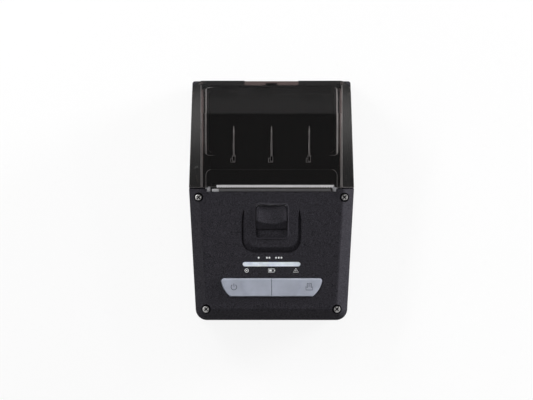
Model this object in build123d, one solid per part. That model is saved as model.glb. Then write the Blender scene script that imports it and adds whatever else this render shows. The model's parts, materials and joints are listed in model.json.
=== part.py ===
from build123d import *
from math import acos, atan2, cos, degrees, pi, radians, sin, sqrt, tan
import os

# Portable receipt printer for a 57 mm roll, lying on its back.
# +X is to the right, +Y to the rear (hinge) end and +Z up.
# The origin is the middle of the underside. All sizes are in millimetres.

# Overall form
LENGTH = 116.0
HEIGHT = 43.0
WIDTH = 80.0            # across the flanks where cover and case meet
REAR_WIDTH = 76.6
FRONT_WIDTH = 73.0
SPLIT_Y = 6.0           # where the cover meets the upper case
SPLIT_GAP = 0.3         # half of the gap there
SEAM_Z = 20.0           # where the lower case ends
SEAM_GAP = 0.3
CORNER_R = 5.5
BASE_REAR_R = 1.2       # the base keeps squarer rear corners than the cover
WALL = 2.0
FLOOR = 1.5
BOTTOM_BEVEL = 2.4
FIT = 0.1               # gap between pieces that seat in each other
EDGE = 0.35             # flat that softens an outer edge

# Deck of the upper case
DECK_REAR_Z = 36.0
DECK_FRONT_Z = 32.0
BEVEL_WIDE = 5.2
BEVEL_HIGH = 6.0
DECK_WALL = 2.0

# Case screws
SCREW_IN_X = 4.7        # from the flank's width, and from the edge, to each screw's axis
SCREW_FRONT_IN_X = 4.8
SCREW_IN_Y = 4.4
SCREW_FRONT_IN_Y = 5.4
SCREW_HEAD_R = 1.65
CROSS_LONG = 2.2
CROSS_WIDE = 0.6
SCREW_RECESS_R = 2.3
SCREW_R = 1.0
BOSS_R = 2.4
RECESS_WALL = 0.8
WALL_BOSS_Z = 13.0      # the rear bosses hang on the flanks above this height
SCREW_HEAD_Z = 33.2
SCREW_FRONT_HEAD_Z = 30.2

# Paper, roll and bin
BIN_Y = 33.0
BIN_R = 19.5
BIN_WALL = 1.0
BIN_HALF = 29.6         # inside half width
BIN_CHEEK = 1.4

# Cover
COVER_WALL = 1.7
CREASE_X = 33.9
BEAD_R = 3.0            # rolled rear edge, concentric with the hinge
DOME_X = 32.2
DOME_STEP = 0.8
STEP_Y = 21.8
DOME_END_Y = 54.6
PIN_R = 1.25
EAR_X0 = 33.4
KNUCKLE_X0 = 29.0
LIP_HALF = 13.0
LIP_DEEP = 2.3
LIP_T = 1.2
TEAR_X = 31.6
TEAR_Y = 15.0
TEAR_DEEP = 0.8
TEAR_BAR_X0 = -26.6
TEAR_BAR_X1 = 30.4
TOOTH_PITCH = 1.2
GUIDE_X0 = -25.5
GUIDE_X1 = 28.7
TEAR_BAR_WIDE = 0.9
TOOTH_HIGH = 0.5
PAPER_EDGE_Y = 4.3
GUIDE_Y = 5.65          # face of the exit guide
RIB_X = 18.2
RIB_FRONT_Y = 18.4
RIB_SECTIONS = ((38.0, 0.25, -0.05), (33.0, 0.7, 0.35), (27.0, 0.95, 0.8), (21.4, 1.0, 1.0))  # Y, half, high
FOOT_HALF = 0.7

# Platen and gear train
MODULE = 0.5
PLATEN_Y = 11.0
PLATEN_Z = 27.4
PLATEN_R = 4.5
PLATEN_HALF = 28.8
SHAFT_R = 1.5
BUSH_R = 2.5
BUSH_X0 = 29.2
BUSH_X1 = 31.5
PLATE_X = 29.6          # inner face of the frame's side plates
PLATE_T = 1.4
GEAR_B_X = 31.4         # motor's plane
GEAR_B_T = 1.0
GEAR_A_X = 32.7         # platen's plane
GEAR_T = 1.5
LUG_X0 = 34.5
LUG_X1 = 35.5
WEB_GAP = 0.2           # between the rubber and the carrier's web
WEB_T = 1.1
RUN = 0.04              # running clearance on a radius
PLATEN_TEETH = 16
IDLER_TEETH = 24
SMALL_TEETH = 12
LARGE_TEETH = 28
MOTOR_TEETH = 10
MESH_PLAY = 0.06        # added to each centre distance
TOOTH_THIN = 0.12       # taken off each tooth at the pitch line
STUD_R = 1.0
IDLER_ANGLE = -90.0     # direction of each next axis, from +Y towards +Z
REDUCTION_ANGLE = 243.0
MOTOR_ANGLE = 165.0
MOTOR_R = 7.0
MOTOR_LONG = 15.0

# Print head
HEAD_GAP = 0.15         # room for the paper
HEAD_T = 0.7
SINK_T = 2.6
HEAD_SHAFT_Z = 19.6
HEAD_SHAFT_R = 1.0

# Latch
WINDOW_X = 7.6
WINDOW_Y0 = -18.2
WINDOW_Y1 = -2.0
WINDOW_R = 1.7
LEDGE_Y = -14.0         # the well's floor ends here, the slide passes under it
LEDGE_DEEP = 1.4
SLIDER_Y0 = -13.8
LATCH_TRAVEL = 3.4
SLIDE_TOP = -2.2        # of the steel slide, below the deck's face
SLIDE_T = 0.8
CREST_Y = -9.9
CREST_HIGH = 1.3
DISH_DEEP = 0.9
DISH_HALF = 6.0
RIM_WIDE = 0.9
RIM_HIGH = 0.3
HOOK_X0 = 30.4
HOOK_X1 = 32.0

# Keys and light bar
KEY_TOP_Y = -37.8
KEY_LOW_Y = -46.4
KEY_TOP_X = 24.5
KEY_LOW_X = 20.0
KEY_BULGE = 1.1
KEY_PROUD = 0.7
KEY_GAP = 0.45
KEY_SPLIT = 0.12
KEY_STEM_X = 11.0
KEY_STEM_Y = -42.1
LED_X = (-9.5, 0, 9.5)
CONTROL_TOP = -7.2      # of the control board, below the deck's face
BAR_X = 13.9
BAR_Y = -30.85
BAR_R = 1.05

# Groove round the latch
GROOVE_OUT_X = 14.5
GROOVE_IN_X = 12.4
GROOVE_TIP_Y = -4.3
GROOVE_OUT_Y = -25.5
GROOVE_IN_Y = -22.6
GROOVE_OUT_R = 6.7
GROOVE_IN_R = 5.6
GROOVE_DEEP = 1.5

# Battery and boards
BATTERY_HALF = 27.0
BATTERY_Y1 = -18.5
BATTERY_H = 15.2
BAY_GAP = 0.3
BAY_WALL = 1.8
RAIL_Z = 8.0
RAIL_H = 1.6
RAIL_OUT = 1.1
BOARD_T = 1.2
BOARD_Z = 18.6
# X, Y, length, width and height of each packaged part
CHIPS = ((4, -36, 10, 10, 1.4), (-12, -26, 8, 6, 1.2), (18, -42, 6, 6, 1.0), (22, -26, 9, 4, 2.2),
         (-10, -43, 5, 4, 1.2))

TERMINAL_X = (-7.5, -2.5, 2.5, 7.5)
CATCH_X = 18.0
CATCH_Z = 11.8
CATCH_TRAVEL = 1.2
CLIP_Y = -4.0
CLIP_R = 1.25
CLIP_DEEP = 3.6
FRAME_Z = 4.2
FRAME_SCREWS = ((-26, -11), (9, -11), (-26, 8.5), (26, 8.5))
FRAME_SCREW_R = 0.8

# Ports on the left flank
PORT_Z = 20.7
PORT_H = 5.8
PORT_Y0 = -37.0
PORT_Y1 = -15.0
PORT_FLAP = 1.2
PORT_R = 1.5
JACK_Y = -30.0
USB_Y = -20.5

DECK_SLOPE = (DECK_REAR_Z - DECK_FRONT_Z) / (SPLIT_Y + LENGTH / 2 - BEVEL_WIDE)
REAR_Y = LENGTH / 2
HINGE_Y = REAR_Y - BEAD_R
HINGE_Z = SEAM_Z + SEAM_GAP + BEAD_R
BIN_Z = FLOOR + BIN_WALL + BIN_R
PLATEN_AT = (PLATEN_Y, PLATEN_Z)
HEAD_FACE_Y = PLATEN_Y - PLATEN_R - HEAD_GAP
HEAD_Y = HEAD_FACE_Y - HEAD_T - SINK_T / 2


def flank_x(y):
    """Half width of the plan at a place along the case."""
    if y > SPLIT_Y:
        return WIDTH / 2 - (WIDTH - REAR_WIDTH) / 2 * (y - SPLIT_Y) / (REAR_Y - SPLIT_Y)
    return WIDTH / 2 - (WIDTH - FRONT_WIDTH) / 2 * (SPLIT_Y - y) / (REAR_Y + SPLIT_Y)


def deck_z(y):
    """Height of the upper case's top face."""
    return DECK_REAR_Z - DECK_SLOPE * (SPLIT_Y - y)


DECK = Plane(origin=(0, 0, deck_z(0)), x_dir=(1, 0, 0), z_dir=(0, -DECK_SLOPE, 1))


def box(x0, x1, y0, y1, z0, z1):
    return Pos((x0 + x1) / 2, (y0 + y1) / 2, (z0 + z1) / 2) * Box(abs(x1 - x0), abs(y1 - y0), abs(z1 - z0))


def rise(face, z0, z1):
    """Extrudes a plan outline between two heights."""
    return Pos(0, 0, z0) * extrude(face, z1 - z0)


def side_prism(points, x0, x1):
    """Extrudes an outline of (Y, Z) points across X."""
    face = Plane((x0, 0, 0), x_dir=(0, 1, 0), z_dir=(1, 0, 0)) * make_face(Polyline(*points, close=True))
    return extrude(face, x1 - x0)


def across(y, points):
    """Upright outline of (X, Z) points that stands across the case at a place along it."""
    return Plane((0, y, 0), x_dir=(1, 0, 0), z_dir=(0, -1, 0)) * make_face(Polyline(*points, close=True))


def rod_x(y, z, r, x0, x1):
    return extrude(Plane((x0, y, z), x_dir=(0, 1, 0), z_dir=(1, 0, 0)) * Circle(r), x1 - x0)


def rod_z(x, y, r, z0, z1):
    return Pos(x, y, z0) * extrude(Circle(r), z1 - z0)


def on_deck(face, n0, n1):
    """Extrudes an outline drawn on the deck between two depths along its normal."""
    return DECK * (Pos(0, 0, n0) * extrude(face, n1 - n0))


def deck_box(x0, x1, y0, y1, n0, n1):
    return DECK * box(x0, x1, y0, y1, n0, n1)


def rounded(x0, x1, y0, y1, r):
    return Pos((x0 + x1) / 2, (y0 + y1) / 2) * RectangleRounded(x1 - x0, y1 - y0, r)


def soften(points, reach):
    """Cuts each corner of a closed outline by a short flat, so that its edge catches the light."""
    cut = []
    for before, corner, after in zip(points[-1:] + points[:-1], points, points[1:] + points[:1]):
        for other in (before, after):
            u, v = other[0] - corner[0], other[1] - corner[1]
            share = reach / sqrt(u * u + v * v)
            cut.append((corner[0] + u * share, corner[1] + v * share))
    return cut


def together(pieces):
    """Separate solids of one kind, as one node."""
    whole = pieces[0]
    for piece in pieces[1:]:
        whole += piece
    return whole


def one(shape):
    """The shape's only solid."""
    return shape.solids()[0]


def outline(inset=0.0, front_r=CORNER_R, rear_r=BASE_REAR_R):
    """Plan of the case, drawn in from its walls by inset."""
    rear, mid, front = REAR_WIDTH / 2 - inset, WIDTH / 2 - inset, FRONT_WIDTH / 2 - inset
    end = REAR_Y - inset
    points = [(-rear, end), (-mid, SPLIT_Y), (-front, -end), (front, -end), (mid, SPLIT_Y), (rear, end)]
    back, nose = max(rear_r - inset, 0.6), max(front_r - inset, 0.6)
    return make_face(FilletPolyline(*points, radius=[back, 0, nose, nose, 0, back], close=True))


def base_form(z1):
    """Outer form of the base, with its bevelled lower edge."""
    foot = loft([outline(BOTTOM_BEVEL), Pos(0, 0, BOTTOM_BEVEL) * outline()], ruled=True)
    return foot + rise(outline(), BOTTOM_BEVEL, z1)


def half_space(y0, y1, z0=-1, z1=HEIGHT + 1):
    return box(-WIDTH, WIDTH, y0, y1, z0, z1)


def screw_places():
    """(X, Y, height of the head's top) of each case screw."""
    rear = (WIDTH / 2 - SCREW_IN_X, SPLIT_Y - SCREW_IN_Y, SCREW_HEAD_Z)
    front = (FRONT_WIDTH / 2 - SCREW_FRONT_IN_X, SCREW_FRONT_IN_Y - REAR_Y, SCREW_FRONT_HEAD_Z)
    return [(side * x, y, z) for x, y, z in (rear, front) for side in (-1, 1)]


def lower_case():
    outer = base_form(SEAM_Z)
    shell = outer - rise(outline(WALL), FLOOR, SEAM_Z + 1)
    room = rise(outline(WALL), 0, SEAM_Z + 1)
    # battery bay, open below and in front
    half, top = BATTERY_HALF + BAY_GAP, BATTERY_H + BAY_GAP
    rear = BATTERY_Y1 + BAY_GAP
    bay = box(-half - BAY_WALL, half + BAY_WALL, -REAR_Y, rear + BAY_WALL, 0, top + BAY_WALL)
    shell += bay & room
    shell -= box(-half, half, -REAR_Y - 1, rear, -1, top)
    for side in (-1, 1):
        shell -= box(side * (half - 1), side * (half + RAIL_OUT), -REAR_Y - 1, rear,
                     RAIL_Z - BAY_GAP / 2, RAIL_Z + RAIL_H + BAY_GAP / 2)
    # bosses that the case screws bite in
    for x, y, _ in screw_places():
        foot = WALL_BOSS_Z if y > -LENGTH / 4 else FLOOR
        out = WIDTH / 2 if x > 0 else -WIDTH / 2
        web = box(x, out, y - BOSS_R, y + BOSS_R, foot, SEAM_Z)
        shell += (rod_z(x, y, BOSS_R, foot, SEAM_Z) + web) & room
        shell -= rod_z(x, y, SCREW_R, foot + 1, SEAM_Z + 1)
    # posts for the board, on the bay's roof
    for x in (-24, 24):
        for y in (-46, -22):
            shell += rod_z(x, y, 2.0, top + BAY_WALL, BOARD_Z)
    # rear wall drawn in where the cover's lip lies over it, with its middle rib
    notch = box(-LIP_HALF - FIT, LIP_HALF + FIT, REAR_Y - LIP_DEEP, REAR_Y + 1, -1, SEAM_Z + 1)
    shell -= notch
    shell += box(-LIP_HALF - WALL, LIP_HALF + WALL, REAR_Y - LIP_DEEP - 1.3, REAR_Y - LIP_DEEP, FLOOR, SEAM_Z)
    shell += box(-2.8, 2.8, REAR_Y - LIP_DEEP, REAR_Y - 0.8, 1.0, SEAM_Z)
    # hinge ears at the rear corners
    for side in (-1, 1):
        ear = box(side * EAR_X0, side * WIDTH, HINGE_Y - BEAD_R, REAR_Y, FLOOR, HINGE_Z)
        ear += rod_x(HINGE_Y, HINGE_Z, BEAD_R, side * EAR_X0, side * WIDTH)
        shell += ear & rise(outline(), FLOOR, HEIGHT)
        shell -= rod_x(HINGE_Y, HINGE_Z, PIN_R, side * (EAR_X0 - 1), side * (EAR_X0 + 3.2))
    # seat of the frame, with the two threaded holes for a belt clip
    for x in (-12, 12):
        shell += rod_z(x, CLIP_Y, 3.0, FLOOR, FRAME_Z)
        shell -= rod_z(x, CLIP_Y, CLIP_R, -1, CLIP_DEEP)
    for x, y in FRAME_SCREWS:
        shell += rod_z(x, y, BOSS_R, FLOOR, FRAME_Z)
        shell -= rod_z(x, y, FRAME_SCREW_R, FLOOR + 0.4, FRAME_Z)
    for x in TERMINAL_X:
        shell -= box(x - 0.7, x + 0.7, rear - 1, rear + BAY_WALL + 1, 6.4, 9.1)
    # the bin's trough sinks into the floor by its own wall
    side = BIN_HALF + BIN_CHEEK + FIT
    shell -= rod_x(BIN_Y, BIN_Z, BIN_R + BIN_WALL + FIT, -side, side)
    return one(shell)


def under_slope(inset, drop, z0):
    """Upright block whose top lies parallel to the deck, drop below it."""
    points = [(-LENGTH, deck_z(-LENGTH) - drop), (LENGTH, deck_z(LENGTH) - drop),
              (LENGTH, HEIGHT * 3), (-LENGTH, HEIGHT * 3)]
    return rise(outline(inset), z0, HEIGHT + 9) - side_prism(points, -WIDTH, WIDTH)


def deck_block(inset, drop, wide, high, z0):
    """Upper case's outer or inner form: sloping top and a bevel round three sides, with softened edges."""
    slices = [(0, high + EDGE), (EDGE * 0.6, high - EDGE), (wide - EDGE, EDGE * 0.6), (wide + EDGE, 0)]
    walls = under_slope(inset, drop + high + EDGE, z0)
    faces = [under_slope(inset + x, drop + z, z0).faces().sort_by(Axis.Z)[-1] for x, z in slices]
    return walls + loft(faces, ruled=True)


def groove():
    """Crescent valley round the latch, open to the rear. Its floor falls outwards to a steep wall."""
    def arch(x, y, r, tip):
        path = FilletPolyline((tip, GROOVE_TIP_Y), (x, GROOVE_TIP_Y - 5), (x, y), (-x, y),
                              (-x, GROOVE_TIP_Y - 5), (-tip, GROOVE_TIP_Y), radius=[2, r, r, 2])
        return make_face(path + Line((-tip, GROOVE_TIP_Y), (tip, GROOVE_TIP_Y)))
    tip = (GROOVE_OUT_X + GROOVE_IN_X) / 2 + 0.15
    outer = arch(GROOVE_OUT_X, GROOVE_OUT_Y, GROOVE_OUT_R, tip)
    floor = arch(GROOVE_OUT_X - 0.3, GROOVE_OUT_Y + 0.3, GROOVE_OUT_R, tip - 0.05)
    inner = arch(GROOVE_IN_X, GROOVE_IN_Y, GROOVE_IN_R, tip - 0.1)
    island = loft([Pos(0, 0, -GROOVE_DEEP) * floor, inner], ruled=True)
    valley = Pos(0, 0, -GROOVE_DEEP) * extrude(outer, GROOVE_DEEP + 1)
    above = extrude(inner, 1)
    return DECK * (valley - island - above)


def key_outline(grow=0.0):
    """Both keys together: straight top and bottom edges with bulging ends."""
    top, low = KEY_TOP_X, KEY_LOW_X
    mid_x, mid_y = (top + low) / 2 + KEY_BULGE, (KEY_TOP_Y + KEY_LOW_Y) / 2
    edges = Line((-top, KEY_TOP_Y), (top, KEY_TOP_Y))
    edges += ThreePointArc((top, KEY_TOP_Y), (mid_x, mid_y), (low, KEY_LOW_Y))
    edges += Line((low, KEY_LOW_Y), (-low, KEY_LOW_Y))
    edges += ThreePointArc((-low, KEY_LOW_Y), (-mid_x, mid_y), (-top, KEY_TOP_Y))
    face = make_face(edges)
    face = fillet(face.vertices(), 1.2)
    return offset(face, grow) if grow else face


def bar_outline(grow=0.0):
    return Pos(0, BAR_Y) * SlotOverall(2 * (BAR_X + grow), 2 * (BAR_R + grow))


def window_outline(grow=0.0):
    return rounded(-WINDOW_X - grow, WINDOW_X + grow, WINDOW_Y0 - grow, WINDOW_Y1 + grow, WINDOW_R + grow)


def flank_band(outset, inset, z0, z1):
    """A layer of the flank wall between two depths."""
    return rise(outline(-outset) - outline(inset), z0, z1)


def port_prism(grow=0.0):
    """Block through the left flank for the port cover, square at its hinge and rounded at its free end."""
    y0, y1, z0, z1 = PORT_Y0 - grow, PORT_Y1 + grow, PORT_Z - grow, PORT_Z + PORT_H + grow
    face = rounded(y0, y1, z0, z1, PORT_R + grow)
    face += Pos((y0 + 3 * y1) / 4, (z0 + z1) / 2) * Rectangle((y1 - y0) / 2, z1 - z0)
    return extrude(Plane((-WIDTH / 2 - 1, 0, 0), x_dir=(0, 1, 0), z_dir=(1, 0, 0)) * face, WIDTH / 8)


def upper_case():
    z0 = SEAM_Z
    outer = deck_block(0, 0, BEVEL_WIDE, BEVEL_HIGH, z0)
    inner = deck_block(WALL, DECK_WALL, BEVEL_WIDE - 0.9, BEVEL_HIGH - 0.9, z0 - 1)
    end = SPLIT_Y - SPLIT_GAP
    outer -= half_space(end, LENGTH)
    shell = outer - inner
    # corner bosses under the screw recesses
    for x, y, head_z in screw_places():
        tube = rod_z(x, y, SCREW_RECESS_R + RECESS_WALL, head_z - 2.3, HEIGHT)
        shell += (rod_z(x, y, BOSS_R, SEAM_Z, HEIGHT) + tube) & outer
    for x, y, head_z in screw_places():
        shell -= rod_z(x, y, SCREW_RECESS_R, head_z - 1.3, HEIGHT + 1)
        shell -= rod_z(x, y, SCREW_R + 0.25, SEAM_Z - 1, HEIGHT)
    # mouth for the paper, between the bosses
    shell -= box(-TEAR_X, TEAR_X, PAPER_EDGE_Y, SPLIT_Y + 1, SEAM_Z - 1, HEIGHT)
    # short ridges that carry on the cover's tear recess
    for side in (-1, 1):
        x = side * TEAR_X
        points = [(end, -0.2), (end, 0.35), (-2.6, -0.2)]
        ridge = side_prism(points, x - 0.35, x + 0.35)
        shell += DECK * ridge
    shell -= groove()
    rim = loft([window_outline(RIM_WIDE), Pos(0, 0, RIM_HIGH) * window_outline(RIM_WIDE / 2)], ruled=True)
    shell += DECK * (Pos(0, 0, -0.1) * extrude(window_outline(RIM_WIDE), 0.1) + rim)
    well = on_deck(window_outline(), -5, 1)
    shell -= well - deck_box(-WIDTH, WIDTH, -LENGTH, LEDGE_Y, -6, -LEDGE_DEEP)
    shell -= on_deck(bar_outline(FIT), -5, 1)
    shell -= on_deck(key_outline(KEY_GAP), -5, 1)
    shell -= port_prism(0.25) & flank_band(1, PORT_FLAP + 0.15, SEAM_Z - 1, HEIGHT)
    shell -= rod_x(JACK_Y, PORT_Z + PORT_H / 2, 2.8, -WIDTH / 2, -WIDTH / 2 + 8)
    shell -= box(-WIDTH / 2, -WIDTH / 2 + 8, USB_Y - 4.0, USB_Y + 4.0, PORT_Z + 1.2, PORT_Z + 5.2)
    # posts that hold the control board
    for x in (-22, 22):
        shell += rod_z(x, -33.5, 1.8, deck_z(-33.5) - 7.0, deck_z(-33.5) - 1)
    return one(shell)


def gear_face(teeth, phase, bore):
    """Involute gear outline in its own plane; phase is the direction of a tooth, in radians."""
    pitch_r = MODULE * teeth / 2
    tip_r, root_r = pitch_r + 0.85 * MODULE, pitch_r - 1.2 * MODULE
    base_r = pitch_r * cos(radians(20))
    half_tooth = (pi * MODULE / 2 - TOOTH_THIN) / 2 / pitch_r

    def inv(r):
        a = acos(min(base_r / r, 1))
        return tan(a) - a

    def half_angle(r):
        return half_tooth + inv(pitch_r) - inv(max(r, base_r))

    radii = [root_r, max(base_r, root_r + 0.05), pitch_r, tip_r]
    points = []
    for tooth in range(teeth):
        middle = phase + 2 * pi * tooth / teeth
        for side, order in ((-1, radii), (1, radii[::-1])):
            turns = [(r, middle + side * half_angle(r)) for r in order]
            points += [(r * cos(turn), r * sin(turn)) for r, turn in turns]
    return make_face(Polyline(*points, close=True)) - Circle(bore)


def gear(teeth, phase, centre, x0, thick, bore):
    y, z = centre
    return extrude(Plane((x0, y, z), x_dir=(0, 1, 0), z_dir=(1, 0, 0)) * gear_face(teeth, phase, bore), thick)


def next_centre(centre, teeth_a, teeth_b, angle):
    reach = MODULE * (teeth_a + teeth_b) / 2 + MESH_PLAY
    return centre[0] + reach * cos(radians(angle)), centre[1] + reach * sin(radians(angle))


def meshed_phase(teeth_a, phase_a, teeth_b, angle):
    """Phase of gear b so that its space faces a's tooth along the line of centres."""
    line = radians(angle)
    return line + pi - (pi - teeth_a * (line - phase_a)) / teeth_b


IDLER_AT = next_centre(PLATEN_AT, PLATEN_TEETH, IDLER_TEETH, IDLER_ANGLE)
REDUCTION_AT = next_centre(IDLER_AT, IDLER_TEETH, SMALL_TEETH, REDUCTION_ANGLE)
MOTOR_AT = next_centre(REDUCTION_AT, LARGE_TEETH, MOTOR_TEETH, MOTOR_ANGLE)
PLATEN_PHASE = 0.0
IDLER_PHASE = meshed_phase(PLATEN_TEETH, PLATEN_PHASE, IDLER_TEETH, IDLER_ANGLE)
SMALL_PHASE = meshed_phase(IDLER_TEETH, IDLER_PHASE, SMALL_TEETH, REDUCTION_ANGLE)
LARGE_PHASE = 0.0
MOTOR_PHASE = meshed_phase(LARGE_TEETH, LARGE_PHASE, MOTOR_TEETH, MOTOR_ANGLE)


def platen_gear():
    return one(gear(PLATEN_TEETH, PLATEN_PHASE, PLATEN_AT, GEAR_A_X, GEAR_T, SHAFT_R))


def idler_gear():
    wheel = gear(IDLER_TEETH, IDLER_PHASE, IDLER_AT, GEAR_A_X, GEAR_T, STUD_R + RUN)
    hub_x = GEAR_A_X - 0.15
    hub = rod_x(*IDLER_AT, STUD_R + 1.0, hub_x, GEAR_A_X) - rod_x(*IDLER_AT, STUD_R + RUN, hub_x, GEAR_A_X)
    return one(wheel + hub)


def reduction_gear():
    large = gear(LARGE_TEETH, LARGE_PHASE, REDUCTION_AT, GEAR_B_X, GEAR_B_T, STUD_R + RUN)
    x0 = GEAR_B_X + GEAR_B_T
    small = gear(SMALL_TEETH, SMALL_PHASE, REDUCTION_AT, x0, GEAR_A_X + GEAR_T - x0, STUD_R + RUN)
    return one(small + large)


def motor_pinion():
    pinion = gear(MOTOR_TEETH, MOTOR_PHASE, MOTOR_AT, GEAR_B_X - 0.2, GEAR_B_T + 0.6, 0.5)
    axle = rod_x(*MOTOR_AT, 0.75, PLATE_X + 0.1, GEAR_B_X - 0.2)
    axle += rod_x(*MOTOR_AT, 0.5, GEAR_B_X - 0.2, GEAR_B_X + 1.2)
    return one(pinion + axle)


def gear_studs():
    studs = rod_x(*IDLER_AT, STUD_R, PLATE_X + PLATE_T, GEAR_A_X + GEAR_T + 0.3)
    studs += rod_x(*REDUCTION_AT, STUD_R, PLATE_X + PLATE_T, GEAR_A_X + GEAR_T + 0.3)
    return studs


def motor():
    y, z = MOTOR_AT
    can = rod_x(y, z, MOTOR_R, PLATE_X - MOTOR_LONG, PLATE_X)
    boss = rod_x(y, z, 2.0, PLATE_X, PLATE_X + PLATE_T)
    return one(can + boss - rod_x(y, z, 0.75 + RUN, PLATE_X, PLATE_X + 3))


def print_frame():
    """Bent steel frame: two side plates, a front web and a base."""
    notch_rear = BUSH_R + FIT
    plate_points = [(16.8, FRAME_Z), (16.8, 22), (15.8, 30.6), (-2.5, 30.6), (-4.5, 22), (-15.8, 20),
                    (-15.8, FRAME_Z)]
    short_points = plate_points[:5] + [(-4.5, FRAME_Z)]
    frame = side_prism(plate_points, PLATE_X, PLATE_X + PLATE_T)
    frame += side_prism(short_points, -PLATE_X - PLATE_T, -PLATE_X)
    frame += box(-PLATE_X, PLATE_X, -1.8, -0.8, 21.5, 30.0)
    frame += box(-PLATE_X, PLATE_X, 6, 11, FRAME_Z, FRAME_Z + 1)
    frame += box(-PLATE_X, 12, -14, 6, FRAME_Z, FRAME_Z + 1)
    # open seats for the platen's bushes, flared to let the cover swing
    flare = 1.3
    seat_points = [(PLATEN_Y - notch_rear, PLATEN_Z), (PLATEN_Y + notch_rear, PLATEN_Z),
                   (PLATEN_Y + notch_rear + flare, 32), (PLATEN_Y - notch_rear, 32)]
    for side in (-1, 1):
        x0, x1 = side * (PLATE_X - 1), side * (PLATE_X + PLATE_T + 1)
        frame -= side_prism(seat_points, x0, x1)
        frame -= rod_x(*PLATEN_AT, BUSH_R + FIT, x0, x1)
        frame -= rod_x(HEAD_Y, HEAD_SHAFT_Z, HEAD_SHAFT_R, x0, x1)
    frame -= rod_x(*MOTOR_AT, 2.0, PLATE_X - 1, PLATE_X + PLATE_T + 1)
    for x, y in FRAME_SCREWS:
        frame -= rod_z(x, y, FRAME_SCREW_R, FRAME_Z - 1, FRAME_Z + 2)
    return one(frame)


def print_head():
    return one(box(-PLATEN_HALF + 0.4, PLATEN_HALF - 0.4, HEAD_FACE_Y - HEAD_T, HEAD_FACE_Y, 23.0, 31.5))


def heat_sink():
    y1 = HEAD_FACE_Y - HEAD_T
    sink = box(-PLATEN_HALF, PLATEN_HALF, y1 - SINK_T, y1, HEAD_SHAFT_Z, 32.5)
    sink += rod_x(HEAD_Y, HEAD_SHAFT_Z, SINK_T / 2, -PLATEN_HALF, PLATEN_HALF)
    sink -= rod_x(HEAD_Y, HEAD_SHAFT_Z, HEAD_SHAFT_R + RUN, -WIDTH, WIDTH)
    for i in range(-4, 5):
        sink -= box(i * 6 - 1.5, i * 6 + 1.5, y1 - SINK_T - 1, y1 - 1.4, 22.5, 34)
    return one(sink)


def head_shaft():
    return one(rod_x(HEAD_Y, HEAD_SHAFT_Z, HEAD_SHAFT_R, -PLATE_X - PLATE_T, PLATE_X + PLATE_T))


def coil(r, wire, long, turns):
    """Compression spring along +Z from the origin."""
    path = Helix(pitch=(long - wire * 2) / turns, height=long - wire * 2, radius=r)
    start = Plane(path @ 0, z_dir=path % 0)
    return Pos(0, 0, wire) * sweep(start * RegularPolygon(wire, 6), path)


def head_springs():
    y0, y1 = -0.8, HEAD_FACE_Y - HEAD_T - SINK_T
    return together([Pos(x, y0 + 0.02, 27.5) * Rot(-90, 0, 0) * coil(1.5, 0.2, y1 - y0 - 0.1, 4)
                     for x in (-15, 15)])


def platen_shaft():
    return one(rod_x(*PLATEN_AT, SHAFT_R, -LUG_X1 - 0.4, LUG_X1 + 0.4))


def platen_rubber():
    roll = rod_x(*PLATEN_AT, PLATEN_R, -PLATEN_HALF, PLATEN_HALF)
    roll = chamfer(roll.edges(), 0.4)
    return one(roll - rod_x(*PLATEN_AT, SHAFT_R, -PLATEN_HALF - 1, PLATEN_HALF + 1))


def platen_bushes():
    bushes = []
    for side in (-1, 1):
        bush = rod_x(*PLATEN_AT, BUSH_R, side * BUSH_X0, side * BUSH_X1)
        bushes.append(bush - rod_x(*PLATEN_AT, SHAFT_R + RUN, side * (BUSH_X0 - 1), side * (BUSH_X1 + 1)))
    return together(bushes)


def platen_holder():
    """Moulded carrier under the cover's tear area: web, two lugs on the shaft and the latch catches."""
    under = PLATEN_Z + PLATEN_R + WEB_GAP
    web = box(-LUG_X1, LUG_X1, 8.6, 16.5, under, HEIGHT)
    for side in (-1, 1):
        lug_points = [(8.4, PLATEN_Z), (13.6, PLATEN_Z), (15.0, under), (9.0, under)]
        lug = side_prism(lug_points, side * LUG_X0, side * LUG_X1)
        lug += rod_x(*PLATEN_AT, 2.6, side * LUG_X0, side * LUG_X1)
        web += lug
        web += box(side * (PLATE_X + 0.3), side * HOOK_X1, 6.8, 9.4, 31.2, 32.6)
    web -= half_space(0, LENGTH, under + WEB_T, HEIGHT + 1)
    web &= cover_block(COVER_WALL + FIT, 0)
    web -= rod_x(*PLATEN_AT, SHAFT_R + RUN, -WIDTH, WIDTH)
    return one(web)


def cover_profile():
    """(Y, shoulder height, bevel foot height) along the cover, front to rear."""
    front = SPLIT_Y + SPLIT_GAP
    return [(front, DECK_REAR_Z, 30.0), (TEAR_Y, 37.1, 30.4), (STEP_Y, 38.4, 30.8), (30.0, 41.0, 31.4),
            (37.0, HEIGHT - DOME_STEP, 31.8), (42.0, HEIGHT - DOME_STEP, 32.0), (49.0, 40.2, 31.4),
            (REAR_Y - LIP_DEEP, 36.4, 30.4), (REAR_Y, 33.6, 29.6)]


def cover_block(inset, z0):
    """Cover's outer or inner form, lofted through cross sections."""
    sections = []
    for y, top, foot in cover_profile():
        w, c = flank_x(y) - inset, CREASE_X - inset * 0.6
        foot, top = foot - inset * 0.4, top - inset
        points = [(-w, z0), (-w, foot), (-c, top), (c, top), (w, foot), (w, z0)]
        if not inset:
            points = soften(points, EDGE)
        sections.append(across(y, points))
    return loft(sections, ruled=True)


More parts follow.
